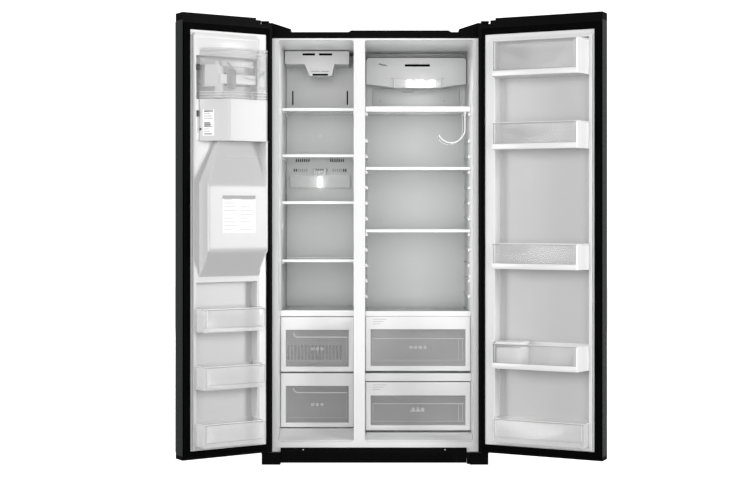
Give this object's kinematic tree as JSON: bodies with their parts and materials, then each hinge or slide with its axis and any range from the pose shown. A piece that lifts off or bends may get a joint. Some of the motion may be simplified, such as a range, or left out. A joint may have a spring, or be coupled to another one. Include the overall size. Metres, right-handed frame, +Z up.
{
  "type": "side by side refrigerator",
  "caption": "Side by side refrigerator standing with both doors open: freezer and fridge compartments with glass shelves, drawers, door bins and an ice compartment.",
  "frame": {"origin": "on the floor, midway between the cabinet's sides, in the plane of the front flange the doors close against", "axes": "+X to the right seen from the front, +Y back into the cabinet, +Z up"},
  "size_m": [1.6425, 1.0102, 1.747],
  "materials": {
    "white_steel": "smooth white paint",
    "dark_steel": "dark grey textured paint",
    "plated_steel": "zinc plated",
    "galvanised": "galvanised sheet",
    "fin_aluminium": "bare fin stock",
    "white_plastic": "glossy white moulding",
    "black_plastic": "black moulding",
    "foam": "rigid insulation foam",
    "clear_plastic": "clear moulding",
    "gasket_rubber": "soft black seal",
    "black_rubber": "black rubber",
    "shelf_glass": "tempered glass in white trim",
    "lamp_glass": "frosted bulb",
    "white_wire": "white coated wire"
  },
  "bodies": {
    "cabinet": {"cabinet_shell": "dark_steel", "rear_panels": "galvanised", "base_pan": "galvanised", "cabinet_foam": "foam", "freezer_liner": "white_plastic", "fridge_liner": "white_plastic", "front_frame": "white_steel", "base_grille": "black_plastic", "top_covers": "black_plastic", "hinges": "plated_steel", "freezer_duct_panel": "white_plastic", "evaporator": "fin_aluminium", "fridge_duct_housing": "white_plastic", "lamp_covers": "clear_plastic", "lamp_bulbs": "lamp_glass", "drawer_covers": "shelf_glass", "compressor": "dark_steel", "water_valve": "plated_steel", "levelling_feet": "black_plastic"},
    "evaporator_fan": {"evaporator_fan": "white_plastic"},
    "rear_rollers": {"rear_rollers": "black_rubber"},
    "freezer_shelf_1": {"freezer_shelf_1": "shelf_glass"},
    "freezer_shelf_2": {"freezer_shelf_2": "shelf_glass"},
    "freezer_shelf_3": {"freezer_shelf_3": "shelf_glass"},
    "freezer_shelf_4": {"freezer_shelf_4": "shelf_glass"},
    "fridge_shelf_1": {"fridge_shelf_1": "shelf_glass", "bottle_rack": "white_wire"},
    "fridge_shelf_2": {"fridge_shelf_2": "shelf_glass"},
    "fridge_shelf_3": {"fridge_shelf_3": "shelf_glass"},
    "freezer_drawer_upper": {"freezer_drawer_upper": "clear_plastic"},
    "freezer_drawer_lower": {"freezer_drawer_lower": "clear_plastic"},
    "crisper_upper": {"crisper_upper": "clear_plastic"},
    "crisper_lower": {"crisper_lower": "clear_plastic"},
    "freezer_door": {"freezer_door_skin": "dark_steel", "freezer_door_foam": "foam", "freezer_door_liner": "white_plastic", "freezer_door_gasket": "gasket_rubber", "freezer_door_caps": "black_plastic", "freezer_handle": "black_plastic", "ice_maker": "white_plastic", "ice_maker_cover": "clear_plastic", "dispenser_housing": "black_plastic"},
    "fridge_door": {"fridge_door_skin": "dark_steel", "fridge_door_foam": "foam", "fridge_door_liner": "white_plastic", "fridge_door_gasket": "gasket_rubber", "fridge_door_caps": "black_plastic", "fridge_handle": "black_plastic"},
    "ice_bucket": {"ice_bucket": "clear_plastic"},
    "ice_auger": {"ice_auger": "white_plastic"},
    "dispenser_paddle": {"dispenser_paddle": "black_plastic"},
    "drip_tray": {"drip_tray": "black_plastic"},
    "freezer_bin_1": {"freezer_bin_1": "clear_plastic"},
    "freezer_bin_2": {"freezer_bin_2": "clear_plastic"},
    "freezer_bin_3": {"freezer_bin_3": "clear_plastic"},
    "fridge_bin_1": {"fridge_bin_1": "clear_plastic"},
    "fridge_bin_2": {"fridge_bin_2": "clear_plastic"},
    "fridge_bin_3": {"fridge_bin_3": "clear_plastic"},
    "fridge_bin_4": {"fridge_bin_4": "clear_plastic"},
    "fridge_bin_5": {"fridge_bin_5": "clear_plastic"}
  },
  "joints": [
    {"name": "evaporator_fan_spin", "type": "hinge", "parent": "cabinet", "child": "evaporator_fan", "pos_m": [-0.233, 0.556, 1.48], "axis": [0, 1, 0], "continuous": true},
    {"name": "rear_roller_spin", "type": "hinge", "parent": "cabinet", "child": "rear_rollers", "pos_m": [0, 0.605, 0.025], "axis": [1, 0, 0], "continuous": true},
    {"name": "freezer_shelf_1_pull", "type": "slide", "parent": "cabinet", "child": "freezer_shelf_1", "axis": [0, -1, 0], "range_m": [0, 0.15]},
    {"name": "freezer_shelf_2_pull", "type": "slide", "parent": "cabinet", "child": "freezer_shelf_2", "axis": [0, -1, 0], "range_m": [0, 0.15]},
    {"name": "freezer_shelf_3_pull", "type": "slide", "parent": "cabinet", "child": "freezer_shelf_3", "axis": [0, -1, 0], "range_m": [0, 0.15]},
    {"name": "freezer_shelf_4_pull", "type": "slide", "parent": "cabinet", "child": "freezer_shelf_4", "axis": [0, -1, 0], "range_m": [0, 0.15]},
    {"name": "fridge_shelf_1_pull", "type": "slide", "parent": "cabinet", "child": "fridge_shelf_1", "axis": [0, -1, 0], "range_m": [0, 0.12]},
    {"name": "fridge_shelf_2_pull", "type": "slide", "parent": "cabinet", "child": "fridge_shelf_2", "axis": [0, -1, 0], "range_m": [0, 0.12]},
    {"name": "fridge_shelf_3_pull", "type": "slide", "parent": "cabinet", "child": "fridge_shelf_3", "axis": [0, -1, 0], "range_m": [0, 0.12]},
    {"name": "freezer_drawer_upper_pull", "type": "slide", "parent": "cabinet", "child": "freezer_drawer_upper", "axis": [0, -1, 0], "range_m": [0, 0.3]},
    {"name": "freezer_drawer_lower_pull", "type": "slide", "parent": "cabinet", "child": "freezer_drawer_lower", "axis": [0, -1, 0], "range_m": [0, 0.22]},
    {"name": "crisper_upper_pull", "type": "slide", "parent": "cabinet", "child": "crisper_upper", "axis": [0, -1, 0], "range_m": [0, 0.3]},
    {"name": "crisper_lower_pull", "type": "slide", "parent": "cabinet", "child": "crisper_lower", "axis": [0, -1, 0], "range_m": [0, 0.22]},
    {"name": "freezer_door_swing", "type": "hinge", "parent": "cabinet", "child": "freezer_door", "pos_m": [-0.43, -0.04, 0.9], "axis": [0, 0, -1], "range_deg": [-147, 12]},
    {"name": "fridge_door_swing", "type": "hinge", "parent": "cabinet", "child": "fridge_door", "pos_m": [0.43, -0.04, 0.9], "axis": [0, 0, 1], "range_deg": [-154, 6]},
    {"name": "ice_bucket_pull", "type": "slide", "parent": "freezer_door", "child": "ice_bucket", "axis": [0.5446, -0.8387, 0], "range_m": [0, 0.15]},
    {"name": "ice_auger_spin", "type": "hinge", "parent": "ice_bucket", "child": "ice_auger", "pos_m": [-0.56354, -0.18873, 1.306], "axis": [-0.8387, -0.5446, 0], "continuous": true},
    {"name": "dispenser_paddle_press", "type": "hinge", "parent": "freezer_door", "child": "dispenser_paddle", "pos_m": [-0.54611, -0.21556, 1.1], "axis": [-0.8387, -0.5446, 0], "range_deg": [0, 4], "stiffness_Nm_per_rad": 0.5},
    {"name": "drip_tray_pull", "type": "slide", "parent": "freezer_door", "child": "drip_tray", "axis": [-0.5446, 0.8387, 0], "range_m": [0, 0.05]},
    {"name": "freezer_bin_1_lift", "type": "slide", "parent": "freezer_door", "child": "freezer_bin_1", "axis": [0, 0, 1], "range_m": [0, 0.06]},
    {"name": "freezer_bin_2_lift", "type": "slide", "parent": "freezer_door", "child": "freezer_bin_2", "axis": [0, 0, 1], "range_m": [0, 0.06]},
    {"name": "freezer_bin_3_lift", "type": "slide", "parent": "freezer_door", "child": "freezer_bin_3", "axis": [0, 0, 1], "range_m": [0, 0.06]},
    {"name": "fridge_bin_1_pull", "type": "slide", "parent": "fridge_door", "child": "fridge_bin_1", "axis": [-0.4384, -0.8988, 0], "range_m": [0, 0.06]},
    {"name": "fridge_bin_2_lift", "type": "slide", "parent": "fridge_door", "child": "fridge_bin_2", "axis": [0, 0, 1], "range_m": [0, 0.06]},
    {"name": "fridge_bin_3_lift", "type": "slide", "parent": "fridge_door", "child": "fridge_bin_3", "axis": [0, 0, 1], "range_m": [0, 0.06]},
    {"name": "fridge_bin_4_lift", "type": "slide", "parent": "fridge_door", "child": "fridge_bin_4", "axis": [0, 0, 1], "range_m": [0, 0.06]},
    {"name": "fridge_bin_5_lift", "type": "slide", "parent": "fridge_door", "child": "fridge_bin_5", "axis": [0, 0, 1], "range_m": [0, 0.06]}
  ]
}
